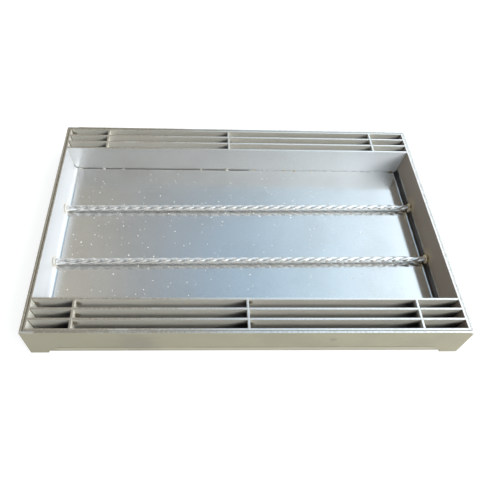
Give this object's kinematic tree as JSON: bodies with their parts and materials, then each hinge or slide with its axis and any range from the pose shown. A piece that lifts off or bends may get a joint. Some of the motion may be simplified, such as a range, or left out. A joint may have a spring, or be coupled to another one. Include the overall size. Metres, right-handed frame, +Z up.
{
  "type": "drain grate",
  "caption": "Rectangular steel drain grate: a recessed tray for paving with twisted keying bars, slotted grates along its long sides, resting in a folded frame with corner feet.",
  "frame": {"origin": "centre of the frame's plan, on the surface that the corner feet stand on", "axes": "+X along the length, +Y from the front grate to the back grate, +Z up out of the recess"},
  "size_m": [0.6, 0.4, 0.06],
  "materials": {
    "sheet_steel": "cold-rolled satin stainless sheet, folded",
    "bar_steel": "sheared stainless flat bar with ground top edges",
    "twisted_steel": "bright twisted square bar",
    "weld_metal": "weld bead with straw heat tint"
  },
  "bodies": {
    "root": {"frame_front_rail": "sheet_steel", "frame_back_rail": "sheet_steel", "frame_left_rail": "sheet_steel", "frame_right_rail": "sheet_steel", "tray_sheet": "sheet_steel", "tray_front_bar": "bar_steel", "tray_back_bar": "bar_steel", "front_outer_bar": "bar_steel", "back_outer_bar": "bar_steel", "front_middle_bar_1": "bar_steel", "front_middle_bar_2": "bar_steel", "back_middle_bar_1": "bar_steel", "back_middle_bar_2": "bar_steel", "front_cross_bar_left": "bar_steel", "front_cross_bar_centre": "bar_steel", "front_cross_bar_right": "bar_steel", "back_cross_bar_left": "bar_steel", "back_cross_bar_centre": "bar_steel", "back_cross_bar_right": "bar_steel", "twisted_bar_front": "twisted_steel", "twisted_bar_back": "twisted_steel", "twisted_bar_welds": "weld_metal", "floor_tack_welds": "weld_metal"}
  },
  "joints": []
}
